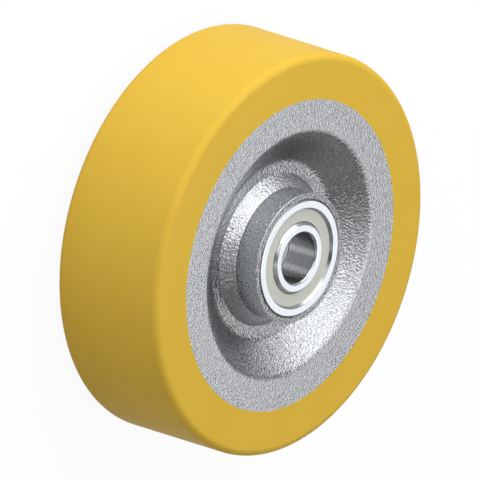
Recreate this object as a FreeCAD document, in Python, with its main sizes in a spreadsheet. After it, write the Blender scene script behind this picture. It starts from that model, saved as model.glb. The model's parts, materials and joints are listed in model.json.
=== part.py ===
import FreeCAD, Part
import os
import re

import Sketcher

# Heavy-duty castor wheel: a polyurethane tread bonded to a cast iron wheel centre, which turns on two
# shielded deep-groove ball bearings with a spacer tube between their inner rings.
# All lengths are in millimetres. The wheel's axle is the Z axis, and the origin is the middle of the wheel.

# Each row is a size's name, its value and what it measures.
SIZES = [
    ("tread_diameter", 160, "running surface of the tread"),
    ("tread_width", 50, "width of the tread and of the rim under it"),
    ("tread_edge_radius", 2.8, "rounding of the tread's two outer edges"),
    ("tread_thickness", 18, "running surface of the tread down to the casting it is bonded on"),
    ("rim_thickness", 13.3, "outside of the casting to the mouth of the dish"),
    ("dish_depth", 9.9, "rim face to the floor of the dish"),
    ("dish_mouth_radius", 3.5, "rounding between rim face and dish wall"),
    ("dish_floor_radius", 4.5, "hollow between dish wall and dish floor"),
    ("dish_floor_width", 5.3, "flat ring between the foot of the dish's sloping wall and the collar"),
    ("collar_width", 4.5, "radial width of the conical collar that carries the boss"),
    ("collar_height", 4.45, "height of the collar above the dish floor"),
    ("boss_wall", 2.4, "wall of the hub boss round each bearing"),
    ("boss_edge", 0.2, "chamfer on the boss's outer edge"),
    ("hub_length", 60, "over the ends of the two inner rings"),
    ("ring_stand_out", 0.3, "how far the bearings stand out of the casting"),
    ("seat_shoulder", 3, "step inside each bearing seat that the outer ring stops against"),
    ("seat_chamfer", 0.2, "lead-in of each bearing seat"),
    ("bearing_diameter", 47, "outside of the outer rings and bore of their seats"),
    ("bearing_width", 14, "width of both bearing rings"),
    ("axle_bore", 20, "bore of the inner rings"),
    ("outer_ring_corner", 0.75, "rounding of the outer rings' outside corners"),
    ("inner_ring_corner", 1, "rounding of the inner rings' bore corners"),
    ("ring_edge", 0.15, "rounding where the end faces of the rings meet their bevels"),
    ("ball_diameter", 7.938, "balls"),
    ("ball_count", 8, "balls in each bearing"),
    ("race_clearance", 0.03, "gap between a ball and the bottom of a raceway"),
    ("outer_race_relief", 0.2, "radius of the outer raceway's section beyond the ball's radius"),
    ("inner_race_relief", 0.12, "radius of the inner raceway's section beyond the ball's radius"),
    ("outer_shoulder", 1.65, "height of the outer ring's land above the bottom of its raceway"),
    ("inner_shoulder", 1.4, "height of the inner ring's land above the bottom of its raceway"),
    ("throat_step", 0.25, "step of the outer ring's throat, which holds the shield in, beyond the land"),
    ("mouth_bevel", 0.8, "radial width of the bevel from the outer ring's throat to its end face"),
    ("lip_bevel", 0.95, "radial width of the bevel from the inner ring's land to its end face"),
    ("shield_sheet", 0.45, "sheet of the shields"),
    ("shield_groove", 0.5, "depth of the groove that holds a shield's rim, from the throat"),
    ("shield_gap", 0.3, "gap between a shield and the inner ring's land"),
    ("shield_fit", 0.05, "gap between a shield's rim and the bottom of its groove"),
    ("shield_clearance", 0.57, "gap between a shield and the cage's domes"),
    ("cage_sheet", 0.6, "sheet of the cage halves"),
    ("cage_clearance", 0.6, "gap between the cage ribbon and the lands of both rings"),
    ("pocket_clearance", 0.12, "gap between a ball and its pocket"),
    ("rivet_diameter", 1, "shank of the cage rivets"),
    ("rivet_head_diameter", 1.8, "head of the cage rivets"),
    ("rivet_head_height", 0.4, "height of each rivet head"),
    ("spacer_clearance", 0.2, "gap between the axle and the spacer tube"),
    ("spacer_wall", 2.8, "wall of the spacer tube"),
]

# Sizes of the casting that follow from the ones above, as expressions: from the tread inwards and from
# the bearing outwards.
RIM_DIAMETER = "(tread_diameter - 2 * tread_thickness)"
DISH_MOUTH_DIAMETER = f"({RIM_DIAMETER} - 2 * rim_thickness)"
BOSS_DIAMETER = "(bearing_diameter + 2 * boss_wall)"
COLLAR_DIAMETER = f"({BOSS_DIAMETER} + 2 * collar_width)"
DISH_FLOOR_DIAMETER = f"({COLLAR_DIAMETER} + 2 * dish_floor_width)"
DISH_FLOOR = "(tread_width / 2 - dish_depth)"
CASTING_END = "(hub_length / 2 - ring_stand_out)"
SEAT_END = "(hub_length / 2 - bearing_width)"

# Sizes inside a bearing that follow from the ones above. The balls run midway between its outside and
# its bore, and everything else is set out from the balls.
BALL_CIRCLE = "((bearing_diameter + axle_bore) / 2)"
OUTER_RACE_DIAMETER = f"({BALL_CIRCLE} + ball_diameter + 2 * race_clearance)"
INNER_RACE_DIAMETER = f"({BALL_CIRCLE} - ball_diameter - 2 * race_clearance)"
OUTER_LAND_DIAMETER = f"({OUTER_RACE_DIAMETER} - 2 * outer_shoulder)"
INNER_LAND_DIAMETER = f"({INNER_RACE_DIAMETER} + 2 * inner_shoulder)"
THROAT_DIAMETER = f"({OUTER_LAND_DIAMETER} + 2 * throat_step)"
MOUTH_DIAMETER = f"({THROAT_DIAMETER} + 2 * mouth_bevel)"
GROOVE_DIAMETER = f"({THROAT_DIAMETER} + 2 * shield_groove)"
LIP_DIAMETER = f"({INNER_LAND_DIAMETER} - 2 * lip_bevel)"
RIBBON_OUTSIDE = f"({OUTER_LAND_DIAMETER} - 2 * cage_clearance)"
RIBBON_INSIDE = f"({INNER_LAND_DIAMETER} + 2 * cage_clearance)"
POCKET_RADIUS = "(ball_diameter / 2 + pocket_clearance)"
DOME_RADIUS = f"({POCKET_RADIUS} + cage_sheet)"
SHIELD_BACK = f"({DOME_RADIUS} + shield_clearance)"
SHIELD_FRONT = f"({SHIELD_BACK} + shield_sheet)"
RING_FACE = "(bearing_width / 2)"

# Rounding error allowed when an edge is looked up by its radius and height.
ROUNDING = 1e-4

SIDES = {"upper": 1, "lower": -1}

# The point on the ball circle halfway between the first ball and the next, as expressions for X and Y.
BETWEEN_BALLS = (
    f"{BALL_CIRCLE} / 2 * cos(180 / ball_count)",
    f"{BALL_CIRCLE} / 2 * sin(180 / ball_count)",
)

doc = FreeCAD.newDocument("CastorWheel")
sheet = doc.addObject("Spreadsheet::Sheet", "Sizes")
for row, (alias, value, meaning) in enumerate(SIZES, start=1):
    sheet.set(f"A{row}", meaning)
    sheet.set(f"B{row}", str(value))
    sheet.setAlias(f"B{row}", alias)
doc.recompute()

ALIAS = re.compile(r"\b(" + "|".join(alias for alias, _, _ in SIZES) + r")\b")

nodes = []


def formula(expression):
    """The expression with each size read from the sheet."""
    return ALIAS.sub(r"Sizes.\1", expression)


def number(expression):
    """The value of an expression in the named sizes."""
    return float(sheet.evalExpression(formula(expression)))


def bind(item, path, expression):
    """Tie a property or constraint to an expression in the named sizes."""
    item.setExpression(path, formula(expression))


def new_body(label):
    body = doc.addObject("PartDesign::Body", label)
    body.Label = label
    nodes.append(body)
    return body


def origin_feature(body, role):
    return next(item for item in body.Origin.OriginFeatures if item.Role == role)


def new_sketch(body, name, plane):
    sketch = body.newObject("Sketcher::SketchObject", f"{body.Name}_{name}")
    sketch.AttachmentSupport = [(origin_feature(body, plane), "")]
    sketch.MapMode = "FlatFace"
    return sketch


def fix_point(sketch, kind, point, expression):
    """Hold one coordinate of a point: DistanceX or DistanceY from the sketch's origin."""
    if expression == "0":
        axis = -2 if kind == "DistanceX" else -1
        sketch.addConstraint(Sketcher.Constraint("PointOnObject", *point, axis))
        return
    index = sketch.addConstraint(Sketcher.Constraint(kind, -1, 1, *point, number(expression)))
    bind(sketch, f"Constraints[{index}]", expression)


def outline(body, name, corners):
    """Closed outline in the XZ plane through corners given as (radius, height) expressions."""
    sketch = new_sketch(body, name, "XZ_Plane")
    places = [FreeCAD.Vector(number(radius), number(height), 0) for radius, height in corners]
    count = len(corners)
    for index, start in enumerate(places):
        sketch.addGeometry(Part.LineSegment(start, places[(index + 1) % count]), False)
    for index in range(count):
        after = (index + 1) % count
        sketch.addConstraint(Sketcher.Constraint("Coincident", index, 2, after, 1))
        if corners[index][0] == corners[after][0]:
            sketch.addConstraint(Sketcher.Constraint("Vertical", index))
        if corners[index][1] == corners[after][1]:
            sketch.addConstraint(Sketcher.Constraint("Horizontal", index))
    for index, (radius, height) in enumerate(corners):
        if corners[index - 1][0] != radius:
            fix_point(sketch, "DistanceX", (index, 1), radius)
        if corners[index - 1][1] != height:
            fix_point(sketch, "DistanceY", (index, 1), height)
    return sketch


def circles(body, name, plane, rings):
    """Sketch of circles, each given as expressions for its centre's two coordinates and its diameter."""
    sketch = new_sketch(body, name, plane)
    for index, (across, along, diameter) in enumerate(rings):
        centre = FreeCAD.Vector(number(across), number(along), 0)
        circle = Part.Circle(centre, FreeCAD.Vector(0, 0, 1), number(diameter) / 2)
        sketch.addGeometry(circle, False)
        fix_point(sketch, "DistanceX", (index, 3), across)
        fix_point(sketch, "DistanceY", (index, 3), along)
        datum = sketch.addConstraint(Sketcher.Constraint("Diameter", index, number(diameter)))
        bind(sketch, f"Constraints[{datum}]", diameter)
    return sketch


def revolve(body, sketch, kind="Revolution"):
    """Turn a sketch once round its vertical axis, as a Revolution or a Groove."""
    feature = body.newObject(f"PartDesign::{kind}", f"{body.Name}_{kind}")
    feature.Profile = sketch
    feature.ReferenceAxis = (sketch, ["V_Axis"])
    feature.Angle = 360
    return feature


def mirror(body, feature):
    """Repeat a feature below the XY plane."""
    copy = body.newObject("PartDesign::Mirrored", f"{body.Name}_mirrored")
    copy.Originals = [feature]
    copy.MirrorPlane = (origin_feature(body, "XY_Plane"), [""])
    body.Tip = copy
    return copy


def around(body, features, occurrences, name):
    """Repeat features round the Z axis."""
    pattern = body.newObject("PartDesign::PolarPattern", f"{body.Name}_{name}")
    pattern.Originals = features
    pattern.Axis = (origin_feature(body, "Z_Axis"), [""])
    pattern.Angle = 360
    bind(pattern, "Occurrences", occurrences)
    body.Tip = pattern
    return pattern


def round_edges(body, diameter, height):
    """Names of a body's circular edges of one diameter, at a height above and below the middle."""
    doc.recompute()
    radius, level = number(diameter) / 2, abs(number(height))
    names = []
    for index, edge in enumerate(body.Tip.Shape.Edges, start=1):
        circle = edge.Curve
        if not isinstance(circle, Part.Circle) or abs(circle.Radius - radius) > ROUNDING:
            continue
        if abs(abs(circle.Center.z) - level) < ROUNDING:
            names.append(f"Edge{index}")
    return names


def soften(body, kind, amount, diameter, height):
    """Fillet or chamfer a body's circular edges of one diameter, at a height above and below the middle."""
    base = body.Tip
    names = round_edges(body, diameter, height)
    feature = body.newObject(f"PartDesign::{kind}", f"{body.Name}_{kind}")
    feature.Base = (base, names)
    bind(feature, "Radius" if kind == "Fillet" else "Size", amount)


def seat_in_bearing(item, side, facing=1):
    """Put a piece drawn about the ball circle into the upper or lower bearing, facing out or in."""
    turn = 0 if side * facing > 0 else 180
    item.Placement = FreeCAD.Placement(FreeCAD.Vector(), FreeCAD.Rotation(FreeCAD.Vector(1, 0, 0), turn))
    bind(item, "Placement.Base.z", f"{side} * (hub_length - bearing_width) / 2")


def make_tread():
    body = new_body("tread")
    corners = [
        (f"{RIM_DIAMETER} / 2", "-tread_width / 2"),
        ("tread_diameter / 2", "-tread_width / 2"),
        ("tread_diameter / 2", "tread_width / 2"),
        (f"{RIM_DIAMETER} / 2", "tread_width / 2"),
    ]
    revolve(body, outline(body, "section", corners))
    soften(body, "Fillet", "tread_edge_radius", "tread_diameter", "tread_width / 2")


def make_wheel_centre():
    """One casting: rim, dished web, conical collars, hub boss and a bearing seat at each end."""
    body = new_body("wheel_centre")
    corners = [
        (f"{RIM_DIAMETER} / 2", "0"),
        (f"{RIM_DIAMETER} / 2", "tread_width / 2"),
        (f"{DISH_MOUTH_DIAMETER} / 2", "tread_width / 2"),
        (f"{DISH_FLOOR_DIAMETER} / 2", DISH_FLOOR),
        (f"{COLLAR_DIAMETER} / 2", DISH_FLOOR),
        (f"{BOSS_DIAMETER} / 2", f"{DISH_FLOOR} + collar_height"),
        (f"{BOSS_DIAMETER} / 2", CASTING_END),
        ("bearing_diameter / 2", CASTING_END),
        ("bearing_diameter / 2", SEAT_END),
        ("bearing_diameter / 2 - seat_shoulder", SEAT_END),
        ("bearing_diameter / 2 - seat_shoulder", "0"),
    ]
    mirror(body, revolve(body, outline(body, "half_section", corners)))
    soften(body, "Fillet", "dish_mouth_radius", DISH_MOUTH_DIAMETER, "tread_width / 2")
    soften(body, "Fillet", "dish_floor_radius", DISH_FLOOR_DIAMETER, DISH_FLOOR)
    soften(body, "Chamfer", "boss_edge", BOSS_DIAMETER, CASTING_END)
    soften(body, "Chamfer", "seat_chamfer", "bearing_diameter", CASTING_END)


def make_spacer_tube():
    """Tube that holds the two inner rings apart."""
    body = new_body("spacer_tube")
    inside = "axle_bore / 2 + spacer_clearance"
    outside = f"{inside} + spacer_wall"
    corners = [
        (inside, f"-{SEAT_END}"),
        (outside, f"-{SEAT_END}"),
        (outside, SEAT_END),
        (inside, SEAT_END),
    ]
    revolve(body, outline(body, "section", corners))


def make_outer_ring(bearing, side):
    """Outer ring with its raceway and, at each end, a bevelled mouth and a groove for a shield's rim."""
    body = new_body(f"{bearing}_outer_ring")
    corners = [
        ("bearing_diameter / 2", "0"),
        ("bearing_diameter / 2", RING_FACE),
        (f"{MOUTH_DIAMETER} / 2", RING_FACE),
        (f"{THROAT_DIAMETER} / 2", SHIELD_FRONT),
        (f"{GROOVE_DIAMETER} / 2", SHIELD_FRONT),
        (f"{GROOVE_DIAMETER} / 2", SHIELD_BACK),
        (f"{OUTER_LAND_DIAMETER} / 2", SHIELD_BACK),
        (f"{OUTER_LAND_DIAMETER} / 2", "0"),
    ]
    mirror(body, revolve(body, outline(body, "half_section", corners)))
    section = "(ball_diameter / 2 + outer_race_relief)"
    centre = f"{OUTER_RACE_DIAMETER} / 2 - {section}"
    raceway = circles(body, "raceway", "XZ_Plane", [(centre, "0", f"2 * {section}")])
    revolve(body, raceway, "Groove")
    soften(body, "Fillet", "outer_ring_corner", "bearing_diameter", RING_FACE)
    soften(body, "Fillet", "ring_edge", MOUTH_DIAMETER, RING_FACE)
    seat_in_bearing(body, side)


def make_inner_ring(bearing, side):
    """Inner ring with its raceway, and a bevel down from each end face to the level of the shield's front."""
    body = new_body(f"{bearing}_inner_ring")
    corners = [
        ("axle_bore / 2", "0"),
        (f"{INNER_LAND_DIAMETER} / 2", "0"),
        (f"{INNER_LAND_DIAMETER} / 2", SHIELD_FRONT),
        (f"{LIP_DIAMETER} / 2", RING_FACE),
        ("axle_bore / 2", RING_FACE),
    ]
    mirror(body, revolve(body, outline(body, "half_section", corners)))
    section = "(ball_diameter / 2 + inner_race_relief)"
    centre = f"{INNER_RACE_DIAMETER} / 2 + {section}"
    raceway = circles(body, "raceway", "XZ_Plane", [(centre, "0", f"2 * {section}")])
    revolve(body, raceway, "Groove")
    soften(body, "Fillet", "inner_ring_corner", "axle_bore", RING_FACE)
    soften(body, "Fillet", "ring_edge", LIP_DIAMETER, RING_FACE)
    seat_in_bearing(body, side)


def make_shield(bearing, side, facing, name):
    """Pressed steel ring whose rim sits in the outer ring's groove, clear of the inner ring."""
    body = new_body(f"{bearing}_{name}_shield")
    inside = f"{INNER_LAND_DIAMETER} / 2 + shield_gap"
    outside = f"{GROOVE_DIAMETER} / 2 - shield_fit"
    corners = [
        (inside, SHIELD_BACK),
        (outside, SHIELD_BACK),
        (outside, SHIELD_FRONT),
        (inside, SHIELD_FRONT),
    ]
    revolve(body, outline(body, "section", corners))
    seat_in_bearing(body, side, facing)


def add_dome(body, kind, radius, name):
    """Half a ball, added to or cut from a cage half at the first ball's place."""
    dome = body.newObject(f"PartDesign::{kind}Sphere", f"{body.Name}_{name}")
    dome.AttachmentSupport = [(origin_feature(body, "XY_Plane"), "")]
    dome.MapMode = "FlatFace"
    bind(dome, "AttachmentOffset.Base.x", f"{BALL_CIRCLE} / 2")
    bind(dome, "Radius", radius)
    return dome


def make_cage_half(bearing, side, facing, name):
    """Half of the ribbon cage: a flat ribbon with a domed pocket over each ball and rivet holes between."""
    body = new_body(f"{bearing}_cage_{name}_half")
    edges = [("0", "0", RIBBON_OUTSIDE), ("0", "0", RIBBON_INSIDE)]

    ribbon = body.newObject("PartDesign::Pad", f"{body.Name}_ribbon")
    ribbon.Profile = circles(body, "ribbon_section", "XY_Plane", edges)
    bind(ribbon, "Length", "cage_sheet")

    dome = add_dome(body, "Additive", DOME_RADIUS, "dome")
    dome.Angle1 = 0
    around(body, [dome], "ball_count", "domes")

    trim = body.newObject("PartDesign::Pocket", f"{body.Name}_trim")
    trim.Profile = circles(body, "trim_section", "XY_Plane", [("0", "0", "bearing_diameter"), *edges])
    trim.Type = "ThroughAll"
    trim.Midplane = True

    hollow = add_dome(body, "Subtractive", POCKET_RADIUS, "hollow")
    around(body, [hollow], "ball_count", "hollows")

    hole = body.newObject("PartDesign::Pocket", f"{body.Name}_rivet_hole")
    hole.Profile = circles(body, "hole_section", "XY_Plane", [(*BETWEEN_BALLS, "rivet_diameter")])
    hole.Type = "ThroughAll"
    hole.Midplane = True
    around(body, [hole], "ball_count", "rivet_holes")
    seat_in_bearing(body, side, facing)


def make_rivets(bearing, side):
    """The rivets that hold the two cage halves together, one between each pair of balls."""
    body = new_body(f"{bearing}_cage_rivets")
    body.AllowCompound = True
    across, along = BETWEEN_BALLS
    shank = body.newObject("PartDesign::Pad", f"{body.Name}_shank")
    shank.Profile = circles(body, "shank_section", "XY_Plane", [(across, along, "rivet_diameter")])
    shank.Midplane = True
    bind(shank, "Length", "2 * (cage_sheet + rivet_head_height)")
    heads = []
    for name, end in (("outer_head", 1), ("inner_head", -1)):
        head = body.newObject("PartDesign::Pad", f"{body.Name}_{name}")
        head.Profile = circles(body, f"{name}_section", "XY_Plane", [(across, along, "rivet_head_diameter")])
        bind(head.Profile[0], "AttachmentOffset.Base.z", f"{end} * cage_sheet")
        head.Reversed = end < 0
        bind(head, "Length", "rivet_head_height")
        heads.append(head)
    around(body, [shank, *heads], "ball_count", "set")
    seat_in_bearing(body, side)


def make_balls(bearing, side):
    for ball in range(int(number("ball_count"))):
        sphere = doc.addObject("Part::Sphere", f"{bearing}_ball_{ball + 1}")
        nodes.append(sphere)
        bind(sphere, "Radius", "ball_diameter / 2")
        seat_in_bearing(sphere, side)
        bind(sphere, "Placement.Base.x", f"{BALL_CIRCLE} / 2 * cos({ball} * 360 / ball_count)")
        bind(sphere, "Placement.Base.y", f"{BALL_CIRCLE} / 2 * sin({ball} * 360 / ball_count)")


def make_bearing(name, side):
    """One shielded ball bearing with a riveted ribbon cage."""
    bearing = f"{name}_bearing"
    make_outer_ring(bearing, side)
    make_inner_ring(bearing, side)
    for place, facing in (("outboard", 1), ("inboard", -1)):
        make_shield(bearing, side, facing, place)
        make_cage_half(bearing, side, facing, place)
    make_rivets(bearing, side)
    make_balls(bearing, side)


make_tread()
make_wheel_centre()
make_spacer_tube()
for name, side in SIDES.items():
    make_bearing(name, side)
doc.recompute()

for item in doc.Objects:
    if "Invalid" in item.State or "Error" in item.State:
        raise RuntimeError(f"{item.Name} failed: {item.State}")
for node in nodes:
    if node.Shape.isNull() or not node.Shape.isValid():
        raise RuntimeError(f"{node.Label} has no valid shape")

os.makedirs("parts", exist_ok=True)
for node in nodes:
    node.Shape.exportStep(f"parts/{node.Label}.step")
    print(f"{node.Label}: {len(node.Shape.Solids)} solids, {node.Shape.Volume:.1f} mm3")
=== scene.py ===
"""Castor wheel: polyurethane tread on a silver-painted iron casting with two shielded ball bearings."""
import json
import math

import bpy
from mathutils import Matrix, Vector


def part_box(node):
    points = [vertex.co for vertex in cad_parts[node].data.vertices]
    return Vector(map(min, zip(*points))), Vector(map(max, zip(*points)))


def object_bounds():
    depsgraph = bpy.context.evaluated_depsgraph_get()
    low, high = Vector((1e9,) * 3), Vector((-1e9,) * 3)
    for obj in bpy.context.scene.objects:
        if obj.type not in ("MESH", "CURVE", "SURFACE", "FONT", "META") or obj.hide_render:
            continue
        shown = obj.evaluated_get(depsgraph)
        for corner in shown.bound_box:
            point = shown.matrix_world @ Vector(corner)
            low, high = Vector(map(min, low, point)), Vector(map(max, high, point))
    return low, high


MM = 0.001

# The photograph's view: an orthographic camera that looks along +Y, 36.6 degrees above the floor,
# rolled until the wheel seems to stand on its tread.
CAMERA_ELEVATION = math.radians(36.64)
CAMERA_ROLL = math.radians(107.39)
CAMERA_DISTANCE = 1.2
CAMERA_SLIDE = (0.016 * MM, -0.069 * MM)
PHOTO_WIDTH = 184.67 * MM

# The floor, and the low round wall that stands on its edge.
FLOOR_SIZE = 6.0
BACKDROP_HEIGHT = 0.6
BACKDROP_SIDES = 64
FLOOR_COLOUR = (0.80, 0.80, 0.80, 1)
WHITE = (1, 1, 1, 1)
# How much of the floor's own light and shade shows in the white background.
FLOOR_SHADE = 0.06

# Strength of the white light that comes evenly from all round.
AMBIENT = 0.07
# Each lamp: name, the azimuth and the elevation it stands at, its width, its height and its power.
LAMP_DISTANCE = 1.2
LAMPS = [
    ("high_softbox", 198, 52, 1.50, 0.80, 8.6),
    ("low_softbox", 207, 14, 1.75, 0.85, 15.0),
    ("near_high_softbox", 262, 58, 0.60, 0.60, 1.8),
    ("near_low_softbox", 262, 20, 0.50, 0.70, 1.9),
    ("strip_lamp", 313, 32, 0.09, 0.90, 0.35),
    ("fill_softbox", 325, 30, 1.00, 0.70, 0.75),
    ("right_fill", 10, 12, 1.20, 0.50, 0.4),
    ("right_high_fill", 340, 60, 0.80, 0.60, 0.65),
    ("far_right_fill", 38, 28, 0.90, 0.70, 0.55),
    ("back_panel", 90, 40, 0.60, 0.56, 1.05),
    ("back_high_panel", 90, 66, 0.60, 0.50, 1.9),
    ("far_side_fill", 145, 28, 0.60, 0.80, 1.6),
    ("top_lamp", 0, 90, 0.80, 0.80, 2.2),
]

# The two colours that each finish varies between, the lower or duller places first; on the casting's paint
# the darker colour in the pits is painted shade.
AMBER = ((0.550, 0.354, 0.042, 1), (0.565, 0.366, 0.046, 1))
DISH_SILVER = ((0.36, 0.368, 0.383, 1), (0.475, 0.484, 0.499, 1))
RIM_SILVER = ((0.53, 0.543, 0.561, 1), (0.57, 0.583, 0.601, 1))
GROUND_FACE = ((0.78, 0.82, 0.87, 1), (0.82, 0.86, 0.91, 1))
# The bevels are darker than the ground faces, partly for their duller finish and partly as painted shade
# over their reflections; the lip's bevel is painted lighter, a painted highlight.
LIP_BEVEL_PAINTED_HIGHLIGHT = ((0.56, 0.57, 0.58, 1), (0.60, 0.61, 0.62, 1))
PLAIN_BEVEL_AND_PAINTED_SHADE = ((0.35, 0.355, 0.36, 1), (0.38, 0.385, 0.39, 1))
# The bore's two colours are painted reflections, the light and dark of its soft streaks.
BORE_PAINTED_REFLECTION = ((0.50, 0.51, 0.53, 1), (0.96, 0.97, 0.98, 1))
SHIELD_GREY = ((0.47, 0.48, 0.44, 1), (0.52, 0.53, 0.48, 1))
DRAWN_STEEL = ((0.88, 0.88, 0.88, 1), (0.95, 0.95, 0.95, 1))
BALL_STEEL = ((0.80, 0.81, 0.83, 1), (0.90, 0.91, 0.93, 1))
# A painted shade on the rounded outside corner of the outer rings, for the shadowed gap between each ring
# and its seat in the hub.
PAINTED_GAP_SHADE = (0.22, 0.225, 0.23, 1)

# The two roughnesses that each finish varies between, in the same order.
TREAD_ROUGHNESS = (0.42, 0.50)
PAINT_ROUGHNESS = (0.25, 0.17)
RING_ROUGHNESS = (0.10, 0.16)
SHIELD_ROUGHNESS = (0.50, 0.60)
DRAWN_ROUGHNESS = (0.12, 0.20)
BALL_ROUGHNESS = (0.04, 0.09)
# How far the tread mirrors and how far the shields are metal, from 0 to 1.
TREAD_SPECULAR = 0.03
SHIELD_METALLIC = 0.3

# How wide the clouds, lumps and lines of each finish are.
TREAD_CLOUD_WIDTH = 18 * MM
TREAD_SKIN_WIDTH = 1.1 * MM
LUMP_WIDTH = 0.95 * MM
PIT_WIDTH = 0.85 * MM
GRAIN_WIDTH = 0.6 * MM
RING_LINE_WIDTH = 0.12 * MM
REFLECTION_WANDER_WIDTH = 6 * MM
SHIELD_MOTTLE_WIDTH = 0.6 * MM
DRAWN_LINE_WIDTH = 0.25 * MM
BALL_HAZE_WIDTH = 1.5 * MM

# How deep the relief of each finish is.
TREAD_RELIEF = 0.006 * MM
PAINT_RELIEF = 0.30 * MM
RING_RELIEF = 0.001 * MM
SHIELD_RELIEF = 0.004 * MM
DRAWN_RELIEF = 0.002 * MM
BALL_RELIEF = 0.001 * MM

# Most of a noise lies between the first and the last of these values.
NOISE_LOW = 0.3
NOISE_MIDDLE = 0.5
NOISE_HIGH = 0.7
# How many finer layers a noise has over its first.
SMOOTH = 1.0
SOFT = 2.0
FINE = 3.0

# How fast each turned or drawn finish changes away from the axle and along it, and how fast round it. The
# rings' faces have circles, the drawn steel has streaks along the axle, and the bore's painted reflection
# streaks wander along it.
RING_LINE_COURSE = (1.0, 0.02)
REFLECTION_WANDER_COURSE = (0.1, 1.0)
DRAWN_COURSE = (0.15, 1.0)

# The casting's skin is soft lumps with pits between them: how far the lumps run together, how high they
# are next to the pits, and what is taken off the sum so that the skin lies round zero.
LUMP_SMOOTHNESS = 0.45
LUMP_SHARE = 0.5
SKIN_MIDDLE = 0.8
# The skin's heights over which the paint goes from its dark colour in the pits, a painted shade, to its
# light one on the lumps, a painted highlight, and from its first roughness to its last.
SKIN_PAINTED_LIGHT_SPAN = (-0.2, 0.2)
SKIN_GLOSS = (-0.2, 0.3)
# On the rim's face this share of the skin is gone, and a finer grain of this height takes its place.
RIM_SMOOTHING = 0.65
RIM_GRAIN = 0.7
# How far the boss is painted as light as the rim, a painted reflection of the bright collar, and how much
# duller the paint is on it and at the dish's mouth.
BOSS_PAINTED_LIGHT = 0.4
BOSS_DULLNESS = 0.04
MOUTH_DULLNESS = 0.05

# The painted reflections in the bore, soft light streaks along it: how many there are round it, and where
# one of them lies.
PAINTED_REFLECTION_STREAKS = 8.0
PAINTED_REFLECTION_TURN = math.radians(68.0)
# How much duller the rings' bevels and bore are than their ground faces.
BEVEL_DULLNESS = 0.14

# Where a finish starts or ends near an edge: the change's own start and end, in millimetres past the edge.
RIM_START = (0.9, 1.5)
RIM_GRAIN_START = (-0.9, 0.9)
MOUTH_START = (-2.2, -0.7)
MOUTH_END = (0.3, 1.3)
BOSS_SIDE = (0.2, 0.4)
BOSS_TOP = (-0.7, -0.5)
END_FACE_START = (-0.08, -0.03)
LIP_START = (-2.15, -1.75)
LIP_END = (1.85, 2.25)
# The painted shade of the gap round the outer rings begins over GAP_SHADE_START.
GAP_SHADE_START = (-1.0, -0.6)
BORE_END = (0.05, 0.25)

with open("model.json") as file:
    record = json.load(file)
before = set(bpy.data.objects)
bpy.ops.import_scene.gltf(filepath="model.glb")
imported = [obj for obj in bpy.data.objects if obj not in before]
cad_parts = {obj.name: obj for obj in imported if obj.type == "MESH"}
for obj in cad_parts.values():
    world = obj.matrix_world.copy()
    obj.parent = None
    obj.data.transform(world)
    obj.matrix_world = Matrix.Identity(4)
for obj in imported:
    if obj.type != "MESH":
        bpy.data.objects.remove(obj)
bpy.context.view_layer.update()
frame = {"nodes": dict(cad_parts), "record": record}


def radius_of(node):
    """Outside radius of a round CAD node."""
    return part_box(node)[1].x


# Where the finishes change, as distances from the axle and heights above the middle of the wheel.
RIM_WIDTH = 13.3 * MM
BOSS_WALL = 2.4 * MM
MOUTH_RADIUS = radius_of("wheel_centre") - RIM_WIDTH
BEARING_RADIUS = radius_of("upper_bearing_outer_ring")
BOSS_RADIUS = BEARING_RADIUS + BOSS_WALL
LIP_RADIUS = radius_of("upper_bearing_inner_ring")
AXLE_RADIUS = next(m["dims"]["r_mm"] for m in frame["record"]["mounts"] if m["name"] == "axle_bore") * MM
HUB_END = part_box("upper_bearing_inner_ring")[1].z


class Value:
    """A number that varies over a surface; sums and products of it add their Math nodes."""

    def __init__(self, finish, socket):
        self.finish = finish
        self.socket = socket

    def __add__(self, other):
        return self.finish.maths("ADD", self, other)

    def __radd__(self, other):
        return self.finish.maths("ADD", other, self)

    def __sub__(self, other):
        return self.finish.maths("SUBTRACT", self, other)

    def __rsub__(self, other):
        return self.finish.maths("SUBTRACT", other, self)

    def __mul__(self, other):
        return self.finish.maths("MULTIPLY", self, other)

    def __rmul__(self, other):
        return self.finish.maths("MULTIPLY", other, self)


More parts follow.
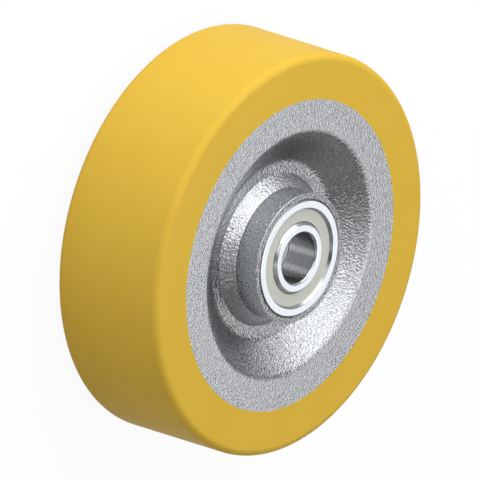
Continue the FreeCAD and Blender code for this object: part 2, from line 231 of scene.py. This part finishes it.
class Finish:
    """A material built node by node on Object coordinates."""

    def __init__(self, name):
        self.material = bpy.data.materials.new(name)
        self.material.use_nodes = True
        self.tree = self.material.node_tree
        self.tree.nodes.clear()
        self.place = self.add("ShaderNodeTexCoord").outputs["Object"]

    def add(self, kind, settings=None, sockets=None):
        """Add a node: first its settings, then the values or links of its sockets."""
        node = self.tree.nodes.new(kind)
        for name, setting in (settings or {}).items():
            setattr(node, name, setting)
        for name, given in (sockets or {}).items():
            source = given.socket if isinstance(given, Value) else given
            if isinstance(source, bpy.types.NodeSocket):
                self.tree.links.new(source, node.inputs[name])
            else:
                node.inputs[name].default_value = source
        return node

    def maths(self, operation, first, second=0.0):
        """One operation of the Math node; one that takes a single value leaves out the second."""
        node = self.add("ShaderNodeMath", {"operation": operation}, {0: first, 1: second})
        return Value(self, node.outputs[0])

    def coordinate(self, index):
        """One coordinate of the place on the surface: 0, 1 or 2 for X, Y or Z."""
        split = self.add("ShaderNodeSeparateXYZ", None, {0: self.place})
        return Value(self, split.outputs[index])

    def noise(self, grain, detail=FINE, place=None):
        """Cloudy noise whose lumps are about one grain wide, in metres."""
        sockets = {"Vector": place or self.place, "Scale": 1 / grain, "Detail": detail}
        node = self.add("ShaderNodeTexNoise", {"noise_dimensions": "3D"}, sockets)
        return Value(self, node.outputs["Fac"])

    def cells(self, width, smoothness):
        """Distance from the middles of soft cells about one width wide, in metres."""
        sockets = {"Vector": self.place, "Scale": 1 / width, "Smoothness": smoothness}
        node = self.add("ShaderNodeTexVoronoi", {"feature": "SMOOTH_F1"}, sockets)
        return Value(self, node.outputs["Distance"])

    def span(self, value, low, high, start=0.0, end=1.0):
        """Spread the part of a value from low to high over start to end."""
        sockets = {"Value": value, "From Min": low, "From Max": high, "To Min": start, "To Max": end}
        node = self.add("ShaderNodeMapRange", {"clamp": True}, sockets)
        return Value(self, node.outputs["Result"])

    def vary(self, noise, start=0.0, end=1.0):
        """Spread a noise over start to end."""
        return self.span(noise, NOISE_LOW, NOISE_HIGH, start, end)

    def past(self, distance, edge, change):
        """0 short of an edge and 1 past it, with the change from its start to its end near the edge."""
        start, end = change
        return self.span(distance, edge + start * MM, edge + end * MM)

    def short_of(self, distance, edge, change):
        """1 short of an edge and 0 past it."""
        return 1.0 - self.past(distance, edge, change)

    def mix(self, share, first, second):
        """Mix two colours; 6 and 7 are the node's colour sockets, and 2 is its mixed colour."""
        sockets = {0: share, 6: first, 7: second}
        node = self.add("ShaderNodeMix", {"data_type": "RGBA"}, sockets)
        return node.outputs[2]

    def bump(self, height, depth):
        """A surface normal from a height, where a step of 1 in it stands for depth, in metres."""
        return self.add("ShaderNodeBump", None, {"Height": height, "Distance": depth}).outputs["Normal"]

    def surface(self, **sockets):
        """Close the material with a Principled surface; each name is a socket's, with _ for a space."""
        names = {name.replace("_", " "): given for name, given in sockets.items()}
        shader = self.add("ShaderNodeBsdfPrincipled", None, names)
        self.output(shader.outputs[0])
        return self.material

    def output(self, shader):
        self.add("ShaderNodeOutputMaterial", None, {"Surface": shader})


def distance_from_axle(finish):
    flat = finish.add("ShaderNodeCombineXYZ", None, {0: finish.coordinate(0), 1: finish.coordinate(1)})
    length = finish.add("ShaderNodeVectorMath", {"operation": "LENGTH"}, {0: flat.outputs[0]})
    return Value(finish, length.outputs["Value"])


def height_above_middle(finish):
    """Height above or below the middle of the wheel, which has the same finish at both ends."""
    return finish.maths("ABSOLUTE", finish.coordinate(2))


def turned_place(finish, away, round_it):
    """Coordinates for a noise on a turned piece, which change at one rate away from the axle and along
    it, and at another round it."""
    outwards = distance_from_axle(finish) * away + finish.coordinate(0) * round_it
    upwards = finish.coordinate(2) * away
    across = finish.coordinate(1) * round_it
    place = finish.add("ShaderNodeCombineXYZ", None, {0: outwards, 1: upwards, 2: across})
    return place.outputs[0]


def cast_polyurethane():
    """Amber tread: satin, faintly cloudy from casting, with a fine skin."""
    finish = Finish("cast_polyurethane")
    clouds = finish.noise(TREAD_CLOUD_WIDTH)
    skin = finish.noise(TREAD_SKIN_WIDTH)
    return finish.surface(
        Base_Color=finish.mix(finish.vary(clouds), *AMBER),
        Roughness=finish.vary(skin, *TREAD_ROUGHNESS),
        Normal=finish.bump(skin, TREAD_RELIEF),
        Specular_IOR_Level=TREAD_SPECULAR,
    )


def silver_casting_paint():
    """Aluminium-silver paint over the rough skin of a sand casting: lighter and finer on the rim's face,
    and a little duller round the boss and at the mouth of the dish. Its pits carry painted shade and its
    lumps painted highlight, and the boss is painted lighter as a painted reflection of the collar."""
    finish = Finish("silver_casting_paint")
    radius = distance_from_axle(finish)
    height = height_above_middle(finish)
    rim = finish.past(radius, MOUTH_RADIUS, RIM_START)
    fine = finish.past(radius, MOUTH_RADIUS, RIM_GRAIN_START)
    mouth = finish.past(radius, MOUTH_RADIUS, MOUTH_START) * finish.short_of(radius, MOUTH_RADIUS, MOUTH_END)
    boss = finish.short_of(radius, BOSS_RADIUS, BOSS_SIDE) * finish.short_of(height, HUB_END, BOSS_TOP)
    lumps = 1.0 - finish.cells(LUMP_WIDTH, LUMP_SMOOTHNESS)
    skin = lumps * LUMP_SHARE + finish.noise(PIT_WIDTH, SMOOTH) - SKIN_MIDDLE
    grain = finish.noise(GRAIN_WIDTH, SMOOTH) - NOISE_MIDDLE
    # The paint is darker in the skin's pits and lighter on its lumps: painted shade and painted highlight.
    painted_relief_light = finish.span(skin, *SKIN_PAINTED_LIGHT_SPAN)
    hollow = finish.mix(painted_relief_light, *DISH_SILVER)
    flat = finish.mix(painted_relief_light, *RIM_SILVER)
    gloss = finish.span(skin, *SKIN_GLOSS, *PAINT_ROUGHNESS)
    relief = skin * (1.0 - fine * RIM_SMOOTHING) + grain * fine * RIM_GRAIN
    return finish.surface(
        # The boss is painted lighter towards the rim's colour, a painted reflection of the collar.
        Base_Color=finish.mix(rim + boss * BOSS_PAINTED_LIGHT, hollow, flat),
        Metallic=1.0,
        Roughness=gloss + boss * BOSS_DULLNESS + mouth * MOUTH_DULLNESS,
        Normal=finish.bump(relief, PAINT_RELIEF),
    )


def ground_bearing_steel():
    """Bearing rings: ground faces with the wheel's fine circular lines, bevels partly painted light, a
    painted shade on the outer rings' corner, and a bore painted with streaks of reflected light.
    """
    finish = Finish("ground_bearing_steel")
    radius = distance_from_axle(finish)
    lines = finish.noise(RING_LINE_WIDTH, FINE, turned_place(finish, *RING_LINE_COURSE))
    shimmer = finish.vary(lines)

    end_face = finish.past(height_above_middle(finish), HUB_END, END_FACE_START)
    lip = finish.past(radius, LIP_RADIUS, LIP_START) * finish.short_of(radius, LIP_RADIUS, LIP_END)
    # The outer rings' corner gets a painted shade for the gap against the hub.
    corner = finish.past(radius, BEARING_RADIUS, GAP_SHADE_START)
    # Bevel colours carry painted light: a painted highlight on the lip's bevel and painted shade on the
    # others.
    bevel = finish.mix(lip, finish.mix(shimmer, *PLAIN_BEVEL_AND_PAINTED_SHADE), finish.mix(shimmer, *LIP_BEVEL_PAINTED_HIGHLIGHT))
    bevel = finish.mix(corner, bevel, PAINTED_GAP_SHADE)
    outside = finish.mix(end_face, bevel, finish.mix(shimmer, *GROUND_FACE))

    # The bore's colour is painted reflection: soft light streaks along it, spaced round the axle.
    around = finish.maths("ARCTAN2", finish.coordinate(1), finish.coordinate(0))
    wander = finish.noise(REFLECTION_WANDER_WIDTH, SMOOTH, turned_place(finish, *REFLECTION_WANDER_COURSE))
    wave = (around - PAINTED_REFLECTION_TURN) * PAINTED_REFLECTION_STREAKS + wander
    streaks = finish.span(finish.maths("COSINE", wave), 0.0, 1.0)
    bore = finish.mix(streaks, *BORE_PAINTED_REFLECTION)

    return finish.surface(
        Base_Color=finish.mix(finish.past(radius, AXLE_RADIUS, BORE_END), bore, outside),
        Metallic=1.0,
        Roughness=finish.vary(lines, *RING_ROUGHNESS) + (1.0 - end_face) * BEVEL_DULLNESS,
        Normal=finish.bump(lines, RING_RELIEF),
    )


def plated_shield_sheet():
    """Bearing shields: matt grey sheet with a slight warm cast."""
    finish = Finish("plated_shield_sheet")
    mottle = finish.noise(SHIELD_MOTTLE_WIDTH)
    return finish.surface(
        Base_Color=finish.mix(finish.vary(mottle), *SHIELD_GREY),
        Metallic=SHIELD_METALLIC,
        Roughness=finish.vary(mottle, *SHIELD_ROUGHNESS),
        Normal=finish.bump(mottle, SHIELD_RELIEF),
    )


def drawn_steel():
    """Spacer tube and cage: bright drawn steel."""
    finish = Finish("drawn_steel")
    streaks = finish.noise(DRAWN_LINE_WIDTH, FINE, turned_place(finish, *DRAWN_COURSE))
    return finish.surface(
        Base_Color=finish.mix(finish.vary(streaks), *DRAWN_STEEL),
        Metallic=1.0,
        Roughness=finish.vary(streaks, *DRAWN_ROUGHNESS),
        Normal=finish.bump(streaks, DRAWN_RELIEF),
    )


def polished_ball_steel():
    """Balls: polished, with the faintest haze."""
    finish = Finish("polished_ball_steel")
    haze = finish.noise(BALL_HAZE_WIDTH, SOFT)
    return finish.surface(
        Base_Color=finish.mix(haze, *BALL_STEEL),
        Metallic=1.0,
        Roughness=finish.vary(haze, *BALL_ROUGHNESS),
        Normal=finish.bump(haze, BALL_RELIEF),
    )


def pale_floor():
    """White to the camera and in reflections, with only a share of the shadow on it."""
    finish = Finish("pale_floor")
    rays = finish.add("ShaderNodeLightPath").outputs
    shown = finish.maths("MAXIMUM", rays["Is Camera Ray"], rays["Is Glossy Ray"])
    shown = finish.maths("MAXIMUM", shown, rays["Is Transmission Ray"])
    matt = finish.add("ShaderNodeBsdfDiffuse", None, {"Color": FLOOR_COLOUR})
    white = finish.add("ShaderNodeEmission", None, {"Color": WHITE, "Strength": 1.0})
    share = shown * (1 - FLOOR_SHADE)
    both = finish.add("ShaderNodeMixShader", None, {0: share, 1: matt.outputs[0], 2: white.outputs[0]})
    finish.output(both.outputs[0])
    return finish.material


def coat(node, material):
    """Give a CAD node its finish."""
    mesh = frame["nodes"][node].data
    mesh.materials.clear()
    mesh.materials.append(material)


def finish_the_pieces():
    coat("tread", cast_polyurethane())
    coat("wheel_centre", silver_casting_paint())
    steel = drawn_steel()
    coat("spacer_tube", steel)
    bearing_finishes = {
        "_ring": ground_bearing_steel(),
        "_shield": plated_shield_sheet(),
        "_half": steel,
        "_rivets": steel,
        "_ball_": polished_ball_steel(),
    }
    for node in frame["nodes"]:
        for word, material in bearing_finishes.items():
            if word in node:
                coat(node, material)


def lay_the_floor():
    """A floor, and a low wall round its edge that closes the view along it."""
    place = (0, 0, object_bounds()[0][2])
    material = pale_floor()
    bpy.ops.object.select_all(action="DESELECT")
    bpy.ops.mesh.primitive_plane_add(size=FLOOR_SIZE, location=place)
    floor = bpy.context.object
    bpy.ops.mesh.primitive_cylinder_add(
        vertices=BACKDROP_SIDES,
        radius=FLOOR_SIZE / 2,
        depth=BACKDROP_HEIGHT,
        end_fill_type="NOTHING",
        location=place,
    )
    backdrop = bpy.context.object
    for stage, name in ((floor, "floor"), (backdrop, "backdrop")):
        stage.name = name
        stage.data.materials.append(material)


def light_the_studio():
    """Lamps that stand round the wheel and face it, and a dim white world."""
    for name, azimuth, elevation, width, height, power in LAMPS:
        lamp = bpy.data.lights.new(name, "AREA")
        lamp.shape = "RECTANGLE"
        lamp.size = width
        lamp.size_y = height
        lamp.energy = power
        stand = bpy.data.objects.new(name, lamp)
        bpy.context.scene.collection.objects.link(stand)
        raised = Matrix.Rotation(-math.radians(elevation), 3, "Y") @ Vector((1, 0, 0))
        way = Matrix.Rotation(math.radians(azimuth), 3, "Z") @ raised
        stand.location = way * LAMP_DISTANCE
        stand.rotation_euler = way.to_track_quat("Z", "Y").to_euler()
    world = bpy.data.worlds.new("studio")
    world.use_nodes = True
    background = world.node_tree.nodes["Background"]
    background.inputs["Color"].default_value = WHITE
    background.inputs["Strength"].default_value = AMBIENT
    bpy.context.scene.world = world


def place_the_camera():
    lens = bpy.data.cameras.new("camera")
    lens.type = "ORTHO"
    lens.ortho_scale = PHOTO_WIDTH
    camera = bpy.data.objects.new("camera", lens)
    bpy.context.scene.collection.objects.link(camera)
    tilt = Matrix.Rotation(math.pi / 2 - CAMERA_ELEVATION, 4, "X")
    roll = Matrix.Rotation(CAMERA_ROLL, 4, "Z")
    camera.matrix_world = tilt @ roll @ Matrix.Translation((*CAMERA_SLIDE, CAMERA_DISTANCE))
    bpy.context.scene.camera = camera


finish_the_pieces()
lay_the_floor()
light_the_studio()
place_the_camera()
bpy.context.scene.view_settings.view_transform = "Standard"
